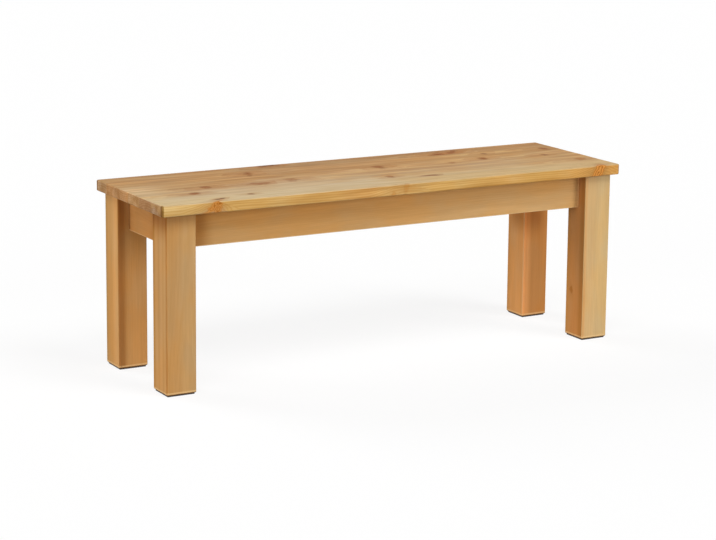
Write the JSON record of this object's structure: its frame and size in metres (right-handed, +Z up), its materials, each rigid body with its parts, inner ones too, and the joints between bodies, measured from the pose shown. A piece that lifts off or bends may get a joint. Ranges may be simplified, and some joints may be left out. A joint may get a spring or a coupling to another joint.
{
  "type": "bench",
  "caption": "Plain pine bench: a flat rectangular seat on square corner legs, with rails between the legs close under the seat.",
  "frame": {"origin": "on the floor, under the middle of the bench", "axes": "+X along the bench's length, +Y towards its back, +Z up"},
  "size_m": [1.26, 0.38, 0.45],
  "materials": {
    "seat_pine": "satin",
    "frame_pine": "satin",
    "dowel_beech": "matte",
    "zinc_steel": "satin",
    "glide_plastic": "matte"
  },
  "bodies": {
    "root": {"seat_stave_1": "seat_pine", "seat_stave_2": "seat_pine", "seat_stave_3": "seat_pine", "seat_stave_4": "seat_pine", "seat_stave_5": "seat_pine", "seat_stave_6": "seat_pine", "front_left_leg": "frame_pine", "front_right_leg": "frame_pine", "back_left_leg": "frame_pine", "back_right_leg": "frame_pine", "front_rail": "frame_pine", "back_rail": "frame_pine", "left_rail": "frame_pine", "right_rail": "frame_pine", "front_cleat": "frame_pine", "back_cleat": "frame_pine", "front_left_bracket": "zinc_steel", "front_right_bracket": "zinc_steel", "back_left_bracket": "zinc_steel", "back_right_bracket": "zinc_steel", "front_left_glide": "glide_plastic", "front_right_glide": "glide_plastic", "back_left_glide": "glide_plastic", "back_right_glide": "glide_plastic", "rail_dowels": "dowel_beech", "hanger_bolts": "zinc_steel", "bolt_washers": "zinc_steel", "bolt_nuts": "zinc_steel", "bracket_screws": "zinc_steel", "cleat_screws": "zinc_steel", "seat_screws": "zinc_steel"}
  },
  "joints": []
}
